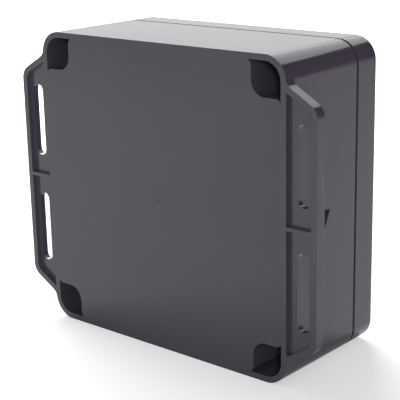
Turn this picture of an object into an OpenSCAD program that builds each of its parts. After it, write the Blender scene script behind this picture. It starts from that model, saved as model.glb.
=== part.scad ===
// Wall-mount project box: a deep base with two slotted mounting flanges,
// and a shallow lid held by four corner screws over a seal ring.
//
// The box stands on its lower side. X runs across it, Y from the back face,
// where the flanges are, to the front of the lid, and Z up. The origin is
// below the middle of the box, on the surface it stands on. Left and right
// are those of someone who looks at the back face.

/* [Body] */
// Width of the body, without its flanges
body_w = 120; // [95:1:200]
// Height of the body
body_h = 120; // [100:1:200]
// Depth of the base, from the back face to the plane the lid sits on
base_d = 44.2; // [36:0.2:90]
// Depth of the lid
lid_d = 12.6; // [11:0.2:25]
// Radius of the four upright corners, outside
corner_r = 9; // [6:0.5:11]
// Thickness of the side walls
wall = 2.3; // [2:0.1:3]
// Thickness of the back wall
back_t = 2.5; // [2:0.1:4]
// Thickness of the lid's front wall
front_t = 2.6; // [2:0.1:4]
// Radius of the lid's front edge
front_edge_r = 1.5; // [0.5:0.1:3]

/* [Seam and seal] */
// Width of the shadow line between base and lid
seam_gap = 1.3; // [0.4:0.1:1.5]
// Depth of the shadow line into the wall
seam_step = 1.0; // [0.6:0.1:1.2]
// Height of the tongue that stands on the base's rim
tongue_h = 3; // [2:0.1:4]
// Thickness of the seal ring under pressure
seal_t = 1.4; // [0.8:0.1:2]
// Room on each side of the tongue in the lid's groove
tongue_room = 0.2; // [0.1:0.05:0.3]
// Room on each side of the seal ring in the groove
seal_room = 0.1; // [0.05:0.05:0.15]
// Thickness of the lip inside the groove
lip_t = 1.5; // [1.2:0.1:2]

/* [Corner columns] */
// Side of the leaf-shaped hollow that cores out each column
pocket_side = 12.6; // [11:0.1:15]
// Radius of the hollow's corner that points to the middle of the box
pocket_r = 5.7; // [4:0.1:7]
// Radius of the small flare at the hollow's two tips
flare_r = 2.5; // [2.3:0.1:3]
// Length of the flare along the hollow's side
flare_l = 2.2; // [1.5:0.1:2.2]
// Wall between the hollow and the room inside the box
column_wall = 2; // [1.8:0.1:3]
// Solid length left at the top of each column
column_cap = 14; // [13:0.5:18]
// Radius of the fillet between column and side wall, inside
room_fillet = 3; // [2.5:0.1:4]

/* [Flanges] */
// How far each flange stands out from the body
flange_w = 12.9; // [12.5:0.1:20]
// Thickness of the flange at its rim
flange_t = 4.5; // [3.8:0.1:8]
// Distance from the body's upper and lower side to the start of a flange
flange_end_gap = 9.6; // [9:0.1:20]
// Angle of the flange's sloped ends to the horizontal
flange_slope = 30; // [20:1:45]
// Radius of the flange's outer corners
flange_corner_r = 6; // [3:0.5:7]
// Radius of the fillet between sloped end and body
flange_root_r = 4; // [1:0.5:5]
// Width of the raised rim round the flange's back
rim_w = 2.4; // [1.5:0.1:2.6]
// Depth of the recess inside the rim
recess_d = 1.9; // [1:0.1:2.8]
// Width of the screw slots
slot_w = 5.5; // [4:0.1:6]
// Distance from the body's side to the slots
slot_in = 3.5; // [2.5:0.1:4]
// Distance from the middle of the flange to each slot
slot_mid_gap = 8; // [4:0.5:12]
// Distance from the flange's outer corner to the nearer slot
slot_end_gap = 5.3; // [4:0.1:12]
// Thickness of the rib across the recess
rib_t = 1.5; // [1:0.1:3]
// Thickness of the gusset in front of the flange
gusset_t = 1.8; // [1.2:0.1:3]
// Length of the gusset along the body's side
gusset_l = 22.5; // [10:0.5:30]

/* [Lid screws] */
// Distance of each screw from the two nearest sides of the body
screw_inset = 8.6; // [8:0.1:9]
// Diameter of the screw's shank
screw_d = 4; // [3:0.5:4]
// Length of the shank
screw_l = 12; // [10:1:14]
// Diameter of the screw's head
head_d = 7; // [6:0.1:7.2]
// Height of the screw's head
head_h = 2.6; // [2:0.1:3]
// Width of the blades of the cross recess in the head
cross_w = 0.9; // [0.6:0.1:1.2]
// Span of the cross recess
cross_span = 4.2; // [3:0.1:4.5]
// Depth of the cross recess
cross_depth = 1.5; // [0.8:0.1:1.7]
// Thickness of the lid under the screw's head
seat_t = 4; // [3:0.1:5]
// Room round the head in its well
head_room = 0.7; // [0.3:0.1:0.8]
// Room round the shank in the lid
shank_room = 0.3; // [0.2:0.05:0.5]

/* [Threaded inserts] */
// Outside diameter of the insert
insert_d = 5.6; // [5.2:0.1:6.5]
// Length of the insert
insert_l = 8; // [6:0.5:8]
// How far the insert lies below the top of its column
insert_sink = 0.2; // [0.1:0.1:0.5]
// Running clearance round the shank in the insert
thread_room = 0.05; // [0.02:0.01:0.1]
// Clearance round the insert in its bore
press_room = 0.02; // [0.01:0.01:0.05]
// Room in the column past the screw's tip
tip_room = 2; // [1:0.5:2.5]
// Depth of the two rings turned into the insert
ring_depth = 0.3; // [0.1:0.1:0.4]
// Width of each ring
ring_w = 1; // [0.5:0.1:1.2]

/* [Board mounts] */
// Distance between the board mounts across the box
board_w = 90; // [40:1:160]
// Distance between the board mounts up the box
board_h = 70; // [40:1:160]
// Diameter of each board mount
mount_d = 6.5; // [6:0.1:9]
// Height of each board mount above the back wall
mount_h = 6; // [4:0.5:12]
// Diameter of its screw hole
mount_hole_d = 2.6; // [2:0.1:3.2]
// Depth of its screw hole
mount_hole_l = 6; // [4:0.5:7]
// Reach of the four webs round each board mount
web_reach = 2.2; // [1:0.1:3]
// Thickness of those webs
web_t = 1; // [0.8:0.1:1.5]

/* [Gate mark] */
// Side of the small triangular mark at the middle of the back face
gate_side = 1.6; // [1:0.1:3]
// Depth of that mark
gate_depth = 0.25; // [0.1:0.05:0.5]

/* [Hidden] */
$fn = 96;
CORNERS = [["upper_left", -1, 1], ["upper_right", 1, 1],
           ["lower_left", -1, -1], ["lower_right", 1, -1]];

PLASTIC = [0.19, 0.185, 0.20];
LID_PLASTIC = [0.22, 0.215, 0.23];
RUBBER = [0.32, 0.33, 0.34];
STEEL = [0.75, 0.76, 0.78];
BRASS = [0.80, 0.65, 0.32];

body_d = base_d + lid_d;
through = 1;               // how far a cut runs past the face it opens

// Columns and room
column_side = wall + pocket_side + column_wall;
column_r = pocket_r + column_wall;
pocket_depth = base_d - column_cap;

// Seam: the tongue is what the shadow line leaves of the wall
tongue_t = wall - seam_step;
groove_depth = tongue_h + seal_t;

// Flanges: the sloped end is a line at flange_slope, and the outer corner's
// arc touches both that line and the flange's outer edge
flange_root = body_h / 2 - flange_end_gap;
flange_arc_x = flange_w - flange_corner_r;
flange_arc_z = (flange_root * cos(flange_slope) - flange_corner_r
                - sin(flange_slope) * flange_arc_x) / cos(flange_slope);
flange_corner_z = flange_root - flange_w * tan(flange_slope);
arc_sink = 0.01;            // how far a flange's arcs and the lines they run into overlap
slot_l = flange_corner_z - slot_mid_gap - slot_end_gap;
slot_x = slot_in + slot_w / 2;
slot_z = slot_mid_gap + slot_l / 2;

// Screws and inserts
screw_x = body_w / 2 - screw_inset;
screw_z = body_h / 2 - screw_inset;
shank_r = screw_d / 2;
insert_bore_r = shank_r + thread_room;
insert_top = base_d - insert_sink;
insert_bottom = insert_top - insert_l;
head_seat = base_d + seat_t;
tip = head_seat - screw_l;

// ---- Helpers -------------------------------------------------------------

// Puts what is drawn from the back face forwards into the part's frame
module in_place() {
    translate([0, -body_d / 2, body_h / 2]) children();
}

// Extrudes an outline, drawn upright as seen from the back, between two depths
module slab(from, to) {
    translate([0, to, 0]) rotate([90, 0, 0]) linear_extrude(to - from) children();
}

// Turns what is drawn along Z so that it points to the front
module to_front(depth) {
    translate([0, depth, 0]) rotate([-90, 0, 0]) children();
}

// Repeats an outline at the body's four corners, where it is drawn with
// the corner at the origin and the body in the positive quarter
module at_outline_corners() {
    for (x = [0, 1], z = [0, 1])
        mirror([x, 0]) mirror([0, z])
            translate([-body_w / 2, -body_h / 2]) children();
}

module at_screws() {
    for (c = CORNERS) translate([c[1] * screw_x, 0, c[2] * screw_z]) children();
}

module rounded_rect(w, h, r) {
    square([w - 2 * r, h], center = true);
    square([w, h - 2 * r], center = true);
    for (x = [-1, 1], y = [-1, 1])
        translate([x * (w / 2 - r), y * (h / 2 - r)]) circle(r);
}

// ---- Outlines ------------------------------------------------------------

module body_outline(inset = 0) {
    rounded_rect(body_w - 2 * inset, body_h - 2 * inset, corner_r - inset);
}

// The room inside the box, a square with the four columns taken out of its
// corners, made larger on every side by grow
module room_outline(grow = 0) {
    arm = column_side - grow;
    r = column_r - grow;
    rounded_rect(body_w - 2 * (wall - grow), body_h - 2 * arm, room_fillet + grow);
    rounded_rect(body_w - 2 * arm, body_h - 2 * (wall - grow), room_fillet + grow);
    at_outline_corners() difference() {
        translate([arm - r, arm - r]) square(r + through);
        translate([arm - r, arm - r]) circle(r);
    }
}

// The hollow in a column, like a leaf with its tips along the side walls
module leaf_outline() {
    s = pocket_side;
    r = corner_r - wall;
    translate([wall, wall]) {
        difference() {
            square(s);
            difference() {
                translate([-through, -through]) square(r + through);
                translate([r, r]) circle(r);
            }
            difference() {
                translate([s - pocket_r, s - pocket_r]) square(pocket_r + through);
                translate([s - pocket_r, s - pocket_r]) circle(pocket_r);
            }
        }
        leaf_flare(s);
        mirror([1, -1]) leaf_flare(s);
    }
}

// The small flare that draws one side of the leaf out to a tip
module leaf_flare(s) {
    difference() {
        translate([s - through, 0]) square([through + flare_r, flare_l]);
        translate([s + flare_r, flare_l]) circle(flare_r);
    }
}

// The right flange, with its rim moved in by inset. It is drawn from the
// body's side, and starts inside the wall by bite.
module flange_outline(inset = 0, bite = 0) {
    r = flange_corner_r - inset;
    centre = [flange_arc_x, flange_arc_z];
    on_slope = centre + (r - arc_sink) * [sin(flange_slope), cos(flange_slope)];
    on_edge = centre + [r, 0];
    root = flange_root - inset / cos(flange_slope) + bite * tan(flange_slope);
    half = [[-bite, root], on_slope, on_edge];
    polygon(concat(half, [for (i = [2:-1:0]) [half[i].x, -half[i].y]]));
    for (s = [-1, 1]) translate([centre.x, s * centre.y]) circle(r);
}

// The centre of the fillet above a flange. It lies flange_root_r away from the
// sloped end, and as far from the body: from its rounded corner where the
// flange starts near that, and from its flat side otherwise.
function root_fillet_centre() =
    let (r = flange_root_r,
         reach = corner_r + r - arc_sink,
         corner = [-corner_r, body_h / 2 - corner_r],
         along = [cos(flange_slope), -sin(flange_slope)],
         up = [sin(flange_slope), cos(flange_slope)],
         from = [0, flange_root] - corner + (r - arc_sink) * up,
         off = from * along,
         at_corner = from + (sqrt(pow(off, 2) - from * from + pow(reach, 2)) - off) * along,
         at_side = from + (reach - from.x) / cos(flange_slope) * along)
    corner + (at_corner.y > 0 ? at_corner : at_side);

// The fillet above a flange, between its sloped end and the body
module flange_root_fillet(bite) {
    r = flange_root_r;
    centre = root_fillet_centre();
    corner = [-corner_r, min(body_h / 2 - corner_r, centre.y)];
    inner = corner + (corner_r - bite) * (centre - corner) / norm(centre - corner);
    foot = centre - (r + bite / 2) * [sin(flange_slope), cos(flange_slope)];
    difference() {
        polygon([inner, [-bite, flange_root - bite], foot, centre]);
        translate(centre) circle(r);
    }
}

module slot_outline() {
    square([slot_w, slot_l - slot_w], center = true);
    for (s = [-1, 1]) translate([0, s * (slot_l - slot_w) / 2]) circle(slot_w / 2);
}

// ---- Base ----------------------------------------------------------------

module right_flange() {
    bite = wall / 2;
    translate([body_w / 2, 0, 0]) {
        difference() {
            slab(0, flange_t) {
                flange_outline(0, bite);
                flange_root_fillet(bite);
                mirror([0, 1]) flange_root_fillet(bite);
            }
            slab(-through, recess_d) flange_outline(rim_w);
            slab(-through, flange_t + through)
                for (s = [-1, 1]) translate([slot_x, s * slot_z]) slot_outline();
        }
        flange_rib(bite);
        flange_gusset(bite);
    }
}

// The rib that crosses the recess, flush with the back face
module flange_rib(bite) {
    translate([-bite, 0, -rib_t / 2])
        cube([bite + flange_w - rim_w / 2, (recess_d + flange_t) / 2, rib_t]);
}

// The gusset in front of the flange, from its outer edge to the body's side
module flange_gusset(bite) {
    foot = (recess_d + flange_t) / 2;
    crest = flange_t + gusset_l;
    translate([0, 0, -gusset_t / 2]) linear_extrude(gusset_t)
        polygon([[-bite, foot], [flange_w - rim_w / 2, foot], [flange_w, flange_t],
                 [0, crest], [-bite, crest]]);
}

// A board mount on the back wall, with four webs round its foot
module board_mount() {
    difference() {
        union() {
            cylinder(h = mount_h, d = mount_d);
            for (a = [0:90:270]) rotate(a) board_web();
        }
        translate([0, 0, mount_h - mount_hole_l])
            cylinder(h = mount_hole_l + through, d = mount_hole_d);
    }
}

module board_web() {
    reach = mount_d / 2 + web_reach;
    neck = mount_d / 2 - web_t / 2;
    translate([0, web_t / 2, 0]) rotate([90, 0, 0]) linear_extrude(web_t)
        polygon([[neck, 0], [reach, 0], [neck, mount_h - web_t]]);
}

module base() {
    color(PLASTIC) in_place() {
        difference() {
            union() {
                slab(0, base_d - seam_gap) body_outline();
                slab(back_t, base_d) body_outline(seam_step);
                slab(back_t, base_d + tongue_h) room_outline(tongue_t);
                right_flange();
                mirror([1, 0, 0]) right_flange();
            }
            slab(back_t, base_d + tongue_h + through) room_outline();
            slab(-through, pocket_depth) at_outline_corners() leaf_outline();
            at_screws() {
                to_front(insert_bottom)
                    cylinder(h = base_d - insert_bottom + through, d = insert_d + 2 * press_room);
                to_front(tip - tip_room)
                    cylinder(h = insert_bottom - tip + tip_room + through, r = shank_r + shank_room);
            }
            slab(-through, gate_depth) rotate(-90) circle(d = gate_side / cos(30), $fn = 3);
        }
        for (x = [-1, 1], z = [-1, 1])
            translate([x * board_w / 2, 0, z * board_h / 2])
                to_front(back_t) board_mount();
    }
}

// ---- Lid -----------------------------------------------------------------

// The side view of a block with its two front edges rounded
module front_profile(w) {
    r = front_edge_r;
    translate([-w / 2, 0]) square([w, lid_d - r]);
    translate([r - w / 2, 0]) square([w - 2 * r, lid_d]);
    for (s = [-1, 1]) translate([s * (w / 2 - r), lid_d - r]) circle(r);
}

// The lid's outer form, drawn along Z with its front up
module lid_block() {
    long_x = body_w - 2 * corner_r;
    long_z = body_h - 2 * corner_r;
    translate([0, long_z / 2, 0]) rotate([90, 0, 0]) linear_extrude(long_z)
        front_profile(body_w);
    rotate([0, 0, 90]) translate([0, long_x / 2, 0]) rotate([90, 0, 0])
        linear_extrude(long_x) front_profile(body_h);
    for (x = [-1, 1], y = [-1, 1])
        translate([x * long_x / 2, y * long_z / 2, 0]) rotate_extrude()
            intersection() {
                front_profile(2 * corner_r);
                square([corner_r, lid_d]);
            }
}

module lid() {
    room_end = body_d - front_t;
    color(LID_PLASTIC) in_place() difference() {
        to_front(base_d) lid_block();
        slab(base_d - through, room_end) room_outline(-tongue_room - lip_t);
        slab(base_d - through, base_d + groove_depth) difference() {
            room_outline(tongue_t + tongue_room);
            room_outline(-tongue_room);
        }
        at_screws() {
            to_front(base_d - through)
                cylinder(h = lid_d + 2 * through, r = shank_r + shank_room);
            to_front(head_seat)
                cylinder(h = lid_d + through, d = head_d + 2 * head_room);
        }
    }
}

// The seal ring lies at the bottom of the lid's groove, on the tongue
module seal_ring() {
    side = tongue_room - seal_room;
    color(RUBBER) in_place()
        slab(base_d + tongue_h, base_d + groove_depth) difference() {
            room_outline(tongue_t + side);
            room_outline(-side);
        }
}

// ---- Fasteners -----------------------------------------------------------

module lid_screw(corner) {
    color(STEEL) in_place()
        translate([corner[1] * screw_x, 0, corner[2] * screw_z]) to_front(head_seat)
            difference() {
                union() {
                    screw_head();
                    translate([0, 0, -screw_l + shank_r / 2])
                        cylinder(h = screw_l - shank_r / 2, r = shank_r);
                    translate([0, 0, -screw_l])
                        cylinder(h = shank_r / 2, r1 = shank_r / 2, r2 = shank_r);
                }
                for (a = [0, 90]) rotate(a)
                    translate([-cross_span / 2, -cross_w / 2, head_h - cross_depth])
                        cube([cross_span, cross_w, cross_depth + through]);
            }
}

// A pan head: flat on top, with a large round along its edge
module screw_head() {
    r = head_h / 2;
    rotate_extrude() intersection() {
        union() {
            square([head_d / 2 - r, head_h]);
            square([head_d / 2, head_h - r]);
            translate([head_d / 2 - r, head_h - r]) circle(r);
        }
        square([head_d / 2, head_h]);
    }
}

module insert(corner) {
    outer = insert_d / 2;
    color(BRASS) in_place()
        translate([corner[1] * screw_x, 0, corner[2] * screw_z]) to_front(insert_bottom)
            rotate_extrude() difference() {
                translate([insert_bore_r, 0]) square([outer - insert_bore_r, insert_l]);
                for (i = [1, 2])
                    translate([outer - ring_depth, i * insert_l / 3 - ring_w / 2])
                        square([ring_depth + through, ring_w]);
            }
}

// ---- Nodes ---------------------------------------------------------------

base();
lid();
seal_ring();
for (c = CORNERS) {
    lid_screw(c);
    insert(c);
}
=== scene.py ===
"""Wall-mount project box in black moulded plastic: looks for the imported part."""
import math

import bpy
from mathutils import Matrix, Vector


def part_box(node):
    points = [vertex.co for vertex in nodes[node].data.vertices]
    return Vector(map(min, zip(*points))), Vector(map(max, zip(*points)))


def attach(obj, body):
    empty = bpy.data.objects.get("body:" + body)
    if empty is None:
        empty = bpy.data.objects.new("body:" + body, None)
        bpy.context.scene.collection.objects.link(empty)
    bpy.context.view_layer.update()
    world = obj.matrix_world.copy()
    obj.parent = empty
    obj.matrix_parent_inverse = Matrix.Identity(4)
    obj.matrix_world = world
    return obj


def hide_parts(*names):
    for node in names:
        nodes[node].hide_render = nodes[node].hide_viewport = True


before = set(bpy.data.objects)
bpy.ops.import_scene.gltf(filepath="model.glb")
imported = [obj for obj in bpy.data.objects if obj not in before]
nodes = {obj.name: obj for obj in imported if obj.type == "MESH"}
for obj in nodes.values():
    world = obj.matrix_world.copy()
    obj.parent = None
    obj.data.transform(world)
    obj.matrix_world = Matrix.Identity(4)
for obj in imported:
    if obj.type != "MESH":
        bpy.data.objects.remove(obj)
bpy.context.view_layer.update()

MM = 0.001                      # one mm in Blender's metres
MERGE = 0.002 * MM              # points nearer than this become one
FLAT_ANGLE = 0.3                # degrees; faces this near to level become one
SHARP_ANGLE = 32                # degrees; a mould rounds the edges past this
CORNERS = ("upper_left", "upper_right", "lower_left", "lower_right")


# ---- Small helpers -------------------------------------------------------

def only(obj):
    """Leaves just obj selected and active."""
    bpy.ops.object.select_all(action="DESELECT")
    obj.select_set(True)
    bpy.context.view_layer.objects.active = obj


def apply_modifiers(obj):
    """Makes every modifier on obj a part of its mesh, in order."""
    only(obj)
    for m in list(obj.modifiers):
        bpy.ops.object.modifier_apply(modifier=m.name)


def paint(obj, material):
    """Gives the whole piece one material."""
    obj.data.materials.clear()
    obj.data.materials.append(material)


def copy_of(node, name):
    """A copy of a CAD node's mesh as one closed skin of flat faces."""
    obj = bpy.data.objects.new(name, nodes[node].data.copy())
    bpy.context.scene.collection.objects.link(obj)
    only(obj)
    bpy.ops.object.mode_set(mode="EDIT")
    bpy.ops.mesh.select_all(action="SELECT")
    bpy.ops.mesh.remove_doubles(threshold=MERGE)
    bpy.ops.mesh.dissolve_limited(angle_limit=math.radians(FLAT_ANGLE))
    bpy.ops.object.mode_set(mode="OBJECT")
    return obj


def soft_edges(obj, width, share_at, clamp=True):
    """Rounds the sharp edges, as a mould leaves them, and keeps flat faces flat.

    share_at gives each edge's share of the width from where its middle is, in mm.
    """
    only(obj)
    bpy.ops.object.mode_set(mode="EDIT")
    bpy.ops.mesh.select_mode(type="EDGE")
    bpy.ops.mesh.select_all(action="DESELECT")
    bpy.ops.mesh.edges_select_sharp(sharpness=math.radians(SHARP_ANGLE))
    bpy.ops.object.mode_set(mode="OBJECT")
    mesh = obj.data
    shares = mesh.attributes.new("bevel_weight_edge", "FLOAT", "EDGE")
    for edge in mesh.edges:
        if edge.select:
            ends = [mesh.vertices[i].co for i in edge.vertices]
            shares.data[edge.index].value = share_at(*((ends[0] + ends[1]) / 2 / MM))
    bevel = obj.modifiers.new("edge", "BEVEL")
    bevel.width = width
    bevel.segments = 3
    bevel.limit_method = "WEIGHT"
    bevel.use_clamp_overlap = clamp
    apply_modifiers(obj)
    finish_skin(obj)


def finish_skin(obj, angle=SHARP_ANGLE):
    """Shades round faces smooth, and lets the large flat faces set the normals."""
    only(obj)
    bpy.ops.object.shade_smooth_by_angle(angle=math.radians(angle))
    flat = obj.modifiers.new("flat", "WEIGHTED_NORMAL")
    flat.mode = "FACE_AREA"
    flat.weight = 100
    flat.keep_sharp = True
    apply_modifiers(obj)


# ---- Materials -----------------------------------------------------------

def new_material(name):
    """A bare Principled material: itself, its tree, its shader and Object coordinates."""
    m = bpy.data.materials.new(name)
    m.use_nodes = True
    nt = m.node_tree
    nt.nodes.clear()
    out = nt.nodes.new("ShaderNodeOutputMaterial")
    shader = nt.nodes.new("ShaderNodeBsdfPrincipled")
    nt.links.new(shader.outputs[0], out.inputs["Surface"])
    coords = nt.nodes.new("ShaderNodeTexCoord")
    return m, nt, shader, coords.outputs["Object"]


def noise(nt, at, scale, detail=3, rough=0.5):
    n = nt.nodes.new("ShaderNodeTexNoise")
    n.inputs["Scale"].default_value = scale
    n.inputs["Detail"].default_value = detail
    n.inputs["Roughness"].default_value = rough
    nt.links.new(at, n.inputs["Vector"])
    return n.outputs["Fac"]


def ranged(nt, value, lo, hi, to_lo=0.0, to_hi=1.0):
    """Maps lo to hi onto to_lo to to_hi, and stops there."""
    n = nt.nodes.new("ShaderNodeMapRange")
    n.inputs["From Min"].default_value = lo
    n.inputs["From Max"].default_value = hi
    n.inputs["To Min"].default_value = to_lo
    n.inputs["To Max"].default_value = to_hi
    nt.links.new(value, n.inputs["Value"])
    return n.outputs[0]


def combined(nt, operation, a, b):
    """A Math node's result from two values."""
    n = nt.nodes.new("ShaderNodeMath")
    n.operation = operation
    nt.links.new(a, n.inputs[0])
    nt.links.new(b, n.inputs[1])
    return n.outputs[0]


def two_tone(nt, value, dark, light):
    n = nt.nodes.new("ShaderNodeMix")
    n.data_type = "RGBA"
    n.inputs["A"].default_value = (*dark, 1)
    n.inputs["B"].default_value = (*light, 1)
    nt.links.new(value, n.inputs["Factor"])
    return n.outputs["Result"]


def bump(nt, height, distance, strength, under=None):
    """Bump of a depth in metres, laid over another bump's normal if one is given."""
    n = nt.nodes.new("ShaderNodeBump")
    n.inputs["Distance"].default_value = distance
    n.inputs["Strength"].default_value = strength
    nt.links.new(height, n.inputs["Height"])
    if under is not None:
        nt.links.new(under, n.inputs["Normal"])
    return n.outputs[0]


def moulded_plastic(name, dark, light, rough):
    """Glossy moulded plastic: one smooth skin with a faint flow ripple."""
    m, nt, shader, at = new_material(name)
    cloud = ranged(nt, noise(nt, at, scale=22, detail=2), 0.35, 0.65)
    nt.links.new(two_tone(nt, cloud, dark, light), shader.inputs["Base Color"])
    haze = ranged(nt, noise(nt, at, scale=60), 0.3, 0.7, rough - 0.02, rough + 0.03)
    nt.links.new(haze, shader.inputs["Roughness"])
    ripple = bump(nt, noise(nt, at, scale=45, detail=1), distance=0.02 * MM, strength=0.25)
    grain = bump(nt, noise(nt, at, scale=2600, detail=2), distance=0.0015 * MM, strength=0.4,
                 under=ripple)
    nt.links.new(grain, shader.inputs["Normal"])
    shader.inputs["IOR"].default_value = 1.5
    return m


def seal_rubber_skin(name, dark, light):
    """Soft matt rubber with a fine dusty grain."""
    m, nt, shader, at = new_material(name)
    dust = ranged(nt, noise(nt, at, scale=300), 0.3, 0.7)
    nt.links.new(two_tone(nt, dust, dark, light), shader.inputs["Base Color"])
    matt = ranged(nt, noise(nt, at, scale=900, detail=2), 0.3, 0.7, 0.68, 0.85)
    nt.links.new(matt, shader.inputs["Roughness"])
    grain = bump(nt, noise(nt, at, scale=2500), distance=0.02 * MM, strength=0.5)
    nt.links.new(grain, shader.inputs["Normal"])
    shader.inputs["Specular IOR Level"].default_value = 0.35
    return m


def turned_metal(name, dark, light, rough):
    """Machined metal: fine tool marks across the piece's axis."""
    m, nt, shader, at = new_material(name)
    squeeze = nt.nodes.new("ShaderNodeMapping")
    squeeze.inputs["Scale"].default_value = (0.3, 6.0, 0.3)     # thin along Y, the axis
    nt.links.new(at, squeeze.inputs["Vector"])
    marks = noise(nt, squeeze.outputs[0], scale=1500, rough=0.6)
    tarnish = ranged(nt, noise(nt, at, scale=500), 0.3, 0.7)
    nt.links.new(two_tone(nt, tarnish, dark, light), shader.inputs["Base Color"])
    nt.links.new(ranged(nt, marks, 0.3, 0.7, rough - 0.06, rough + 0.08),
                 shader.inputs["Roughness"])
    nt.links.new(bump(nt, marks, distance=0.008 * MM, strength=0.5), shader.inputs["Normal"])
    shader.inputs["Metallic"].default_value = 1.0
    return m


BLACK = moulded_plastic("black_plastic", dark=(0.0585, 0.0495, 0.0675),
                        light=(0.0645, 0.0545, 0.0740), rough=0.10)
RUBBER = seal_rubber_skin("seal_rubber", dark=(0.145, 0.145, 0.150), light=(0.175, 0.175, 0.180))
STEEL = turned_metal("screw_steel", dark=(0.58, 0.58, 0.59), light=(0.66, 0.66, 0.67),
                     rough=0.26)
BRASS = turned_metal("insert_brass", dark=(0.72, 0.54, 0.25), light=(0.80, 0.62, 0.29),
                     rough=0.30)


# ---- Base and lid --------------------------------------------------------

base_low, base_high = (Vector(v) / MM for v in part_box("base"))
lid_low, lid_high = (Vector(v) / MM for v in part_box("lid"))

FLANGE_REACH = base_high.x      # from the middle to the flanges' outer edges, in mm
SIDE = lid_high.x               # from the middle to the body's sides
BACK_Y, SEAM_Y, FRONT_Y = base_low.y, lid_low.y, lid_high.y
MIDDLE_Z = (lid_low.z + lid_high.z) / 2
CORNER_R = 9                    # the body's four long corners
FLANGE_T = 4.5                  # the flanges' thickness, in front of which the gussets stand
NEAR = 0.1                      # an edge this near a flat face lies in it
NEAR_SIDE = 0.3                 # the same for the body's outer side
CLEAR = 0.2                     # a place past the side by this is on a flange

BASE_ROUND = 0.45 * MM          # the widest edge round of each piece
LID_ROUND = 0.25 * MM
SEAL_ROUND = 0.3 * MM


def depth_from_side(x, z):
    """How deep a place lies in the body from its rounded outer side, in mm."""
    over_x = abs(x) - (SIDE - CORNER_R)
    over_z = abs(z - MIDDLE_Z) - (SIDE - CORNER_R)
    if over_x > 0 and over_z > 0:
        return CORNER_R - math.hypot(over_x, over_z)
    return CORNER_R - max(over_x, over_z)


def on_outer_side(x, z):
    """Whether a place lies in the body's outer side."""
    return depth_from_side(x, z) < NEAR_SIDE


def base_edge(x, y, z):
    """Share of the base's widest edge round at a place in mm."""
    on_flange = abs(x) > SIDE + CLEAR
    if abs(x) > FLANGE_REACH - NEAR or (on_flange and y > BACK_Y + FLANGE_T + NEAR):
        return 1.0                  # the flanges' outer edges and the gussets
    if y > SEAM_Y - NEAR:
        return 0.25 if on_outer_side(x, z) else 0.0     # the seam
    if on_flange or y < BACK_Y + NEAR:
        return 0.5                  # flanges, rims, slots and the back face
    return 0.0


def lid_edge(x, y, z):
    """Share of the lid's widest edge round at a place in mm."""
    if y > FRONT_Y - NEAR:
        return 1.0                  # the front face and the wells' rims in it
    return 0.2 if on_outer_side(x, z) else 0.0          # the seam


base = copy_of("base", "base_moulding")
soft_edges(base, BASE_ROUND, base_edge)
paint(base, BLACK)
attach(base, "base")
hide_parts("base")

lid = copy_of("lid", "lid_moulding")
soft_edges(lid, LID_ROUND, lid_edge, clamp=False)
paint(lid, BLACK)
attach(lid, "lid")
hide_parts("lid")


# ---- Seal ring -----------------------------------------------------------

seal = copy_of("seal_ring", "seal_ring_rubber")
soft_edges(seal, SEAL_ROUND, lambda x, y, z: 1.0)
paint(seal, RUBBER)
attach(seal, "lid")
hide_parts("seal_ring")


# ---- Screws and inserts --------------------------------------------------
# Both are turned about the Y line through the origin, which runs to the front
# of the box, and are then copied to the four corners. Lengths are in mm.

SIDES = 48                      # flats once round a turned piece
HELIX_STEPS = 24                # the same for a thread
PITCH = 0.7
RIDGE = (0.29, 0.37, 0.64)      # heights where a ridge meets its crest, leaves it and ends
RUN_OUT = 1.2 * PITCH           # over which a thread rises at either end

SCREW_LENGTH = 12               # below the head's seat
SCREW_ROOT_R = 1.62
TIP_R, TIP_LENGTH = 0.9, 0.8
NECK_R, NECK_LENGTH, NECK_TAPER = 1.96, 0.6, 0.4
HEAD_R, HEAD_HEIGHT = 3.5, 2.6
HEAD_ROUND, SEAT_CHAMFER = 1.3, 0.15
RECESS_FLOOR = 1.2              # above the seat
BLADE_LENGTH, BLADE_HEIGHT, BLADE_THICK = 4.2, 2.0, 0.9
BLADE_FOOT = (0.4, 1, 0.7)      # the foot's share of the length and thickness

INSERT_LENGTH = 8
INSERT_R, INSERT_BORE_R, INSERT_CHAMFER = 2.8, 2.33, 0.2
GROOVE_R, GROOVE_HALF, GROOVE_SLOPE = 2.5, 0.5, 0.1
BANDS = 3                       # of knurl
KNURL_ROOT = 0.945              # share of the radius between two ridges of the knurl


def pick_points(obj, wanted):
    """Goes to edit mode with just the wanted points selected."""
    bpy.ops.object.mode_set(mode="EDIT")
    bpy.ops.mesh.select_mode(type="VERT")
    bpy.ops.mesh.select_all(action="DESELECT")
    bpy.ops.object.mode_set(mode="OBJECT")
    for v in obj.data.vertices:
        v.select = wanted(v.co)
    bpy.ops.object.mode_set(mode="EDIT")


def close_seams(obj):
    """Merges the points that meet, and turns the faces outwards."""
    only(obj)
    bpy.ops.object.mode_set(mode="EDIT")
    bpy.ops.mesh.select_all(action="SELECT")
    bpy.ops.mesh.remove_doubles(threshold=MERGE)
    bpy.ops.mesh.normals_make_consistent(inside=False)
    bpy.ops.object.mode_set(mode="OBJECT")


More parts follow.
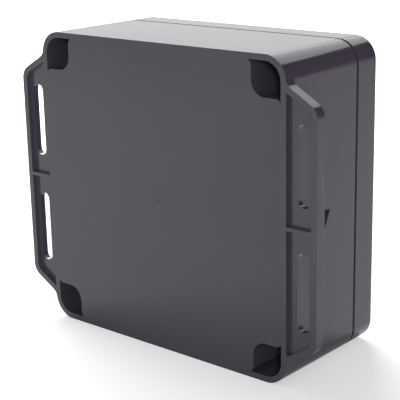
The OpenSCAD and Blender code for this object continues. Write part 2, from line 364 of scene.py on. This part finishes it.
def outline(name, points):
    """A line from point to point, each (radius, height)."""
    bpy.ops.object.select_all(action="DESELECT")
    bpy.ops.mesh.primitive_plane_add(size=MM)
    obj = bpy.context.object
    obj.name = name
    bpy.ops.object.mode_set(mode="EDIT")
    bpy.ops.mesh.select_mode(type="VERT")
    bpy.ops.mesh.select_all(action="SELECT")
    bpy.ops.mesh.merge(type="CENTER")
    bpy.ops.transform.translate(value=(points[0][0] * MM, points[0][1] * MM, 0))
    for (r0, h0), (r1, h1) in zip(points, points[1:]):
        step = ((r1 - r0) * MM, (h1 - h0) * MM, 0)
        bpy.ops.mesh.extrude_vertices_move(TRANSFORM_OT_translate={"value": step})
    bpy.ops.object.mode_set(mode="OBJECT")
    return obj


def turned(name, points):
    """Spins an outline all the way round."""
    obj = outline(name, points)
    bpy.ops.object.mode_set(mode="EDIT")
    bpy.ops.mesh.select_all(action="SELECT")
    bpy.ops.mesh.spin(steps=SIDES, angle=2 * math.pi, center=(0, 0, 0), axis=(0, 1, 0))
    bpy.ops.object.mode_set(mode="OBJECT")
    close_seams(obj)
    return obj


def thread(name, root, crest, start, end):
    """A helical ridge between two radii, which runs out at both ends."""
    to_crest, from_crest, to_root = (start + height for height in RIDGE)
    obj = outline(name, [(root, start), (crest, to_crest), (crest, from_crest),
                         (root, to_root), (root, start + PITCH)])
    helix = obj.modifiers.new("helix", "SCREW")
    helix.axis = "Y"
    helix.screw_offset = PITCH * MM
    helix.iterations = int((end - start) / PITCH)
    helix.steps = helix.render_steps = HELIX_STEPS
    helix.use_merge_vertices = False
    helix.use_smooth_shade = True
    apply_modifiers(obj)
    low = min(v.co.y for v in obj.data.vertices)
    high = max(v.co.y for v in obj.data.vertices)
    for v in obj.data.vertices:
        risen = min(v.co.y - low, high - v.co.y) / (RUN_OUT * MM)
        r = math.hypot(v.co.x, v.co.z)
        to = root * MM + (r - root * MM) * min(risen, 1)
        v.co.x *= to / r
        v.co.z *= to / r
    close_seams(obj)
    outward = sum(p.normal.x * p.center.x + p.normal.z * p.center.z for p in obj.data.polygons)
    if (outward > 0) != (crest > root):
        # an open skin has no inside of its own, and an inner thread faces the axis
        bpy.ops.object.mode_set(mode="EDIT")
        bpy.ops.mesh.flip_normals()
        bpy.ops.object.mode_set(mode="OBJECT")
    return obj


def joined(obj, other):
    """Makes the other piece a part of obj."""
    bpy.ops.object.select_all(action="DESELECT")
    other.select_set(True)
    obj.select_set(True)
    bpy.context.view_layer.objects.active = obj
    bpy.ops.object.join()


def cross_blade(angle):
    """One tapered blade of the tool that sinks the head's cross recess."""
    middle = (RECESS_FLOOR + BLADE_HEIGHT / 2) * MM
    bpy.ops.object.select_all(action="DESELECT")
    bpy.ops.mesh.primitive_cube_add(
        size=1, location=(0, middle, 0),
        scale=(BLADE_LENGTH * MM, BLADE_HEIGHT * MM, BLADE_THICK * MM))
    blade = bpy.context.object
    bpy.ops.object.transform_apply(location=True, scale=True)
    pick_points(blade, lambda at: at.y < middle)
    bpy.ops.transform.resize(value=BLADE_FOOT, center_override=(0, 0, 0))
    bpy.ops.object.mode_set(mode="OBJECT")
    blade.rotation_euler = (0, angle, 0)
    bpy.ops.object.transform_apply(rotation=True)
    return blade


def make_screw():
    """Pan head with a cross recess; the head's seat is at height 0."""
    round_off = [(HEAD_R - HEAD_ROUND * (1 - math.sin(math.radians(a))),
                  HEAD_HEIGHT - HEAD_ROUND * (1 - math.cos(math.radians(a))))
                 for a in range(90, -1, -15)]
    shank = [(0, -SCREW_LENGTH), (TIP_R, -SCREW_LENGTH),
             (SCREW_ROOT_R, TIP_LENGTH - SCREW_LENGTH),
             (SCREW_ROOT_R, -NECK_LENGTH - NECK_TAPER), (NECK_R, -NECK_LENGTH), (NECK_R, 0)]
    seat = [(HEAD_R - SEAT_CHAMFER, 0), (HEAD_R, SEAT_CHAMFER)]
    screw = turned("lid_screw", shank + seat + round_off + [(0, HEAD_HEIGHT)])
    for angle in (0, math.pi / 2):
        blade = cross_blade(angle)
        cut = screw.modifiers.new("cross", "BOOLEAN")
        cut.operation = "DIFFERENCE"
        cut.solver = "EXACT"
        cut.object = blade
        apply_modifiers(screw)
        bpy.data.objects.remove(blade)
    joined(screw, thread("screw_thread", root=1.58, crest=1.97, start=-11.4, end=-0.8))
    finish_skin(screw)
    return screw


def make_insert():
    """Knurled in three bands between two grooves; its lower end is at height 0."""
    mouth = GROOVE_HALF + GROOVE_SLOPE
    grooves = []
    for i in range(1, BANDS):
        middle = i * INSERT_LENGTH / BANDS
        grooves += [(INSERT_R, middle - mouth), (GROOVE_R, middle - GROOVE_HALF),
                    (GROOVE_R, middle + GROOVE_HALF), (INSERT_R, middle + mouth)]
    lower = [(INSERT_BORE_R, 0), (INSERT_R - INSERT_CHAMFER, 0), (INSERT_R, INSERT_CHAMFER)]
    upper = [(r, INSERT_LENGTH - h) for r, h in reversed(lower)]
    insert = turned("insert", lower + grooves + upper + [(INSERT_BORE_R, 0)])

    def between_ridges(at):
        turn = round(math.atan2(at.z, at.x) / (2 * math.pi) * SIDES)
        band = int(at.y / MM * BANDS / INSERT_LENGTH)
        outer = math.hypot(at.x, at.z) > (INSERT_R - 0.01) * MM
        return outer and (turn + band) % 2 == 0

    pick_points(insert, between_ridges)
    bpy.ops.transform.resize(value=(KNURL_ROOT, 1, KNURL_ROOT), center_override=(0, 0, 0))
    bpy.ops.object.mode_set(mode="OBJECT")
    joined(insert, thread("insert_thread", root=2.36, crest=2.08, start=0.1, end=7.9))
    finish_skin(insert, angle=20)
    return insert


def at_corners(model, kind, body, material, height):
    """Puts a copy of the model where each of the four CAD nodes stands.

    height is how far the model's own zero is above its lower end.
    """
    for corner in CORNERS:
        node = kind + "_" + corner
        low, high = (Vector(v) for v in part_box(node))
        piece = model.copy()
        piece.data = model.data.copy()
        piece.name = node + "_metal"
        bpy.context.scene.collection.objects.link(piece)
        middle = (low + high) / 2
        piece.data.transform(Matrix.Translation((middle.x, low.y + height * MM, middle.z)))
        paint(piece, material)
        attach(piece, body)
        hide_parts(node)
    bpy.data.objects.remove(model)


at_corners(make_screw(), "lid_screw", "lid", STEEL, SCREW_LENGTH)
at_corners(make_insert(), "insert", "base", BRASS, 0)


# ---- Studio --------------------------------------------------------------
# Lengths are in metres from here on.

VIEW = (40.830, 16.009, -1.244)     # the camera's azimuth from -Y, elevation and roll
CAMERA_AT = (0.2857889, -0.3347440, 0.1800678)
SENSOR, LENS = 36, 103.80699        # in mm
BOX_MIDDLE = (0, 0, 0.06)
FADE_NEAR, FADE_FAR = 0.35, 1.2     # from the origin, where the floor's painted glow rises from 0.4 to plain white
BOARD_SIZE = (0.55, 0.40)
BOARD_AT = Vector((0.33, 0.50, 0.315))
BOARD_FACES = Vector((0.05, 0, BOARD_AT.z))


def lamp(name, place, size, power, size_y=None):
    """A soft panel that faces the box's middle; square unless size_y is given."""
    data = bpy.data.lights.new(name, "AREA")
    data.shape = "RECTANGLE"
    data.size = size
    data.size_y = size_y or size
    data.energy = power
    obj = bpy.data.objects.new(name, data)
    bpy.context.scene.collection.objects.link(obj)
    obj.location = place
    obj.rotation_mode = "QUATERNION"
    obj.rotation_quaternion = (Vector(BOX_MIDDLE) - Vector(place)).to_track_quat("-Z", "Y")
    obj.visible_camera = False
    return obj


def aim(azimuth, elevation, distance):
    """The place at a distance from the box's middle, azimuth from +X towards +Y."""
    a, e = math.radians(azimuth), math.radians(elevation)
    return (distance * math.cos(a) * math.cos(e), distance * math.sin(a) * math.cos(e),
            BOX_MIDDLE[2] + distance * math.sin(e))


def studio_world():
    """White to look at and to mirror, and dimmer as a light."""
    world = bpy.data.worlds.new("studio")
    world.use_nodes = True
    nt = world.node_tree
    nt.nodes.clear()
    out = nt.nodes.new("ShaderNodeOutputWorld")
    background = nt.nodes.new("ShaderNodeBackground")
    background.inputs["Color"].default_value = (1.0, 0.985, 0.995, 1)
    rays = nt.nodes.new("ShaderNodeLightPath").outputs
    seen = combined(nt, "MAXIMUM", rays["Is Camera Ray"], rays["Is Glossy Ray"])
    seen = combined(nt, "MAXIMUM", seen, rays["Is Transmission Ray"])
    nt.links.new(ranged(nt, seen, 0, 1, 0.28, 1.0), background.inputs["Strength"])
    nt.links.new(background.outputs[0], out.inputs["Surface"])
    return world


def paper_with_painted_glow():
    """Matt paper with a painted glow for camera rays only: weak near the object, where its
    shadow shows, rising to plain white away from it.
    """
    m, nt, shader, at = new_material("paper_with_painted_glow")
    shader.inputs["Base Color"].default_value = (0.95, 0.95, 0.95, 1)
    shader.inputs["Roughness"].default_value = 0.9
    shader.inputs["Specular IOR Level"].default_value = 0.0
    shader.inputs["Emission Color"].default_value = (1, 1, 1, 1)
    away = nt.nodes.new("ShaderNodeVectorMath")
    away.operation = "LENGTH"
    nt.links.new(at, away.inputs[0])
    # painted light: an emission for camera rays, 0.4 near the object and 1 (plain white) far
    # away, stands in for lamp light on the floor
    painted_glow = ranged(nt, away.outputs["Value"], FADE_NEAR, FADE_FAR, 0.4, 1.0)
    rays = nt.nodes.new("ShaderNodeLightPath").outputs
    nt.links.new(combined(nt, "MULTIPLY", rays["Is Camera Ray"], painted_glow),
                 shader.inputs["Emission Strength"])
    return m


def dark_cloth():
    """Dull near-black cloth, for the board."""
    m, _, shader, _ = new_material("dark_cloth")
    shader.inputs["Base Color"].default_value = (0.02, 0.02, 0.02, 1)
    shader.inputs["Roughness"].default_value = 1.0
    return m


bpy.context.scene.world = studio_world()

lamp("key_softbox", aim(150, 42, 1.2), size=1.1, power=18, size_y=0.5)
back_softbox = lamp("back_softbox", aim(102, 38, 1.0), size=0.95, power=1.6, size_y=0.55)
low_softbox = lamp("low_softbox", aim(134, 14, 1.0), size=0.8, power=0.13, size_y=0.30)
front_fill = lamp("front_fill", aim(VIEW[0] - 90, VIEW[1], 2.0), size=0.3, power=15)
front_fill.visible_glossy = False
back_softbox.visible_diffuse = low_softbox.visible_diffuse = False

bpy.ops.mesh.primitive_plane_add(size=12, location=(0, 0, 0))
floor = bpy.context.object
floor.name = "floor"
paint(floor, paper_with_painted_glow())

# a dark board behind on the right, upright, which the rounded edge mirrors
bpy.ops.mesh.primitive_plane_add(size=1)
board = bpy.context.object
board.name = "dark_board"
board.scale = (*BOARD_SIZE, 1)
board.location = BOARD_AT
board.rotation_mode = "QUATERNION"
board.rotation_quaternion = (BOARD_FACES - BOARD_AT).to_track_quat("Z", "Y")
for ray in ("camera", "diffuse", "shadow", "transmission", "volume_scatter"):
    setattr(board, "visible_" + ray, False)
paint(board, dark_cloth())


# ---- Camera --------------------------------------------------------------

azimuth, elevation, roll = (math.radians(a) for a in VIEW)
back = Vector((math.sin(azimuth) * math.cos(elevation),
               -math.cos(azimuth) * math.cos(elevation), math.sin(elevation)))
right = Vector((math.cos(azimuth), math.sin(azimuth), 0))
up = back.cross(right)
across = right * math.cos(roll) + up * math.sin(roll)
upright = up * math.cos(roll) - right * math.sin(roll)

camera_data = bpy.data.cameras.new("camera")
camera_data.sensor_width = SENSOR
camera_data.lens = LENS
camera_data.clip_start = 0.01
camera_data.clip_end = 50
camera = bpy.data.objects.new("camera", camera_data)
bpy.context.scene.collection.objects.link(camera)
turn = Matrix((across, upright, back)).transposed().to_4x4()
camera.matrix_world = Matrix.Translation(CAMERA_AT) @ turn
bpy.context.scene.camera = camera

bpy.context.scene.view_settings.view_transform = "Standard"
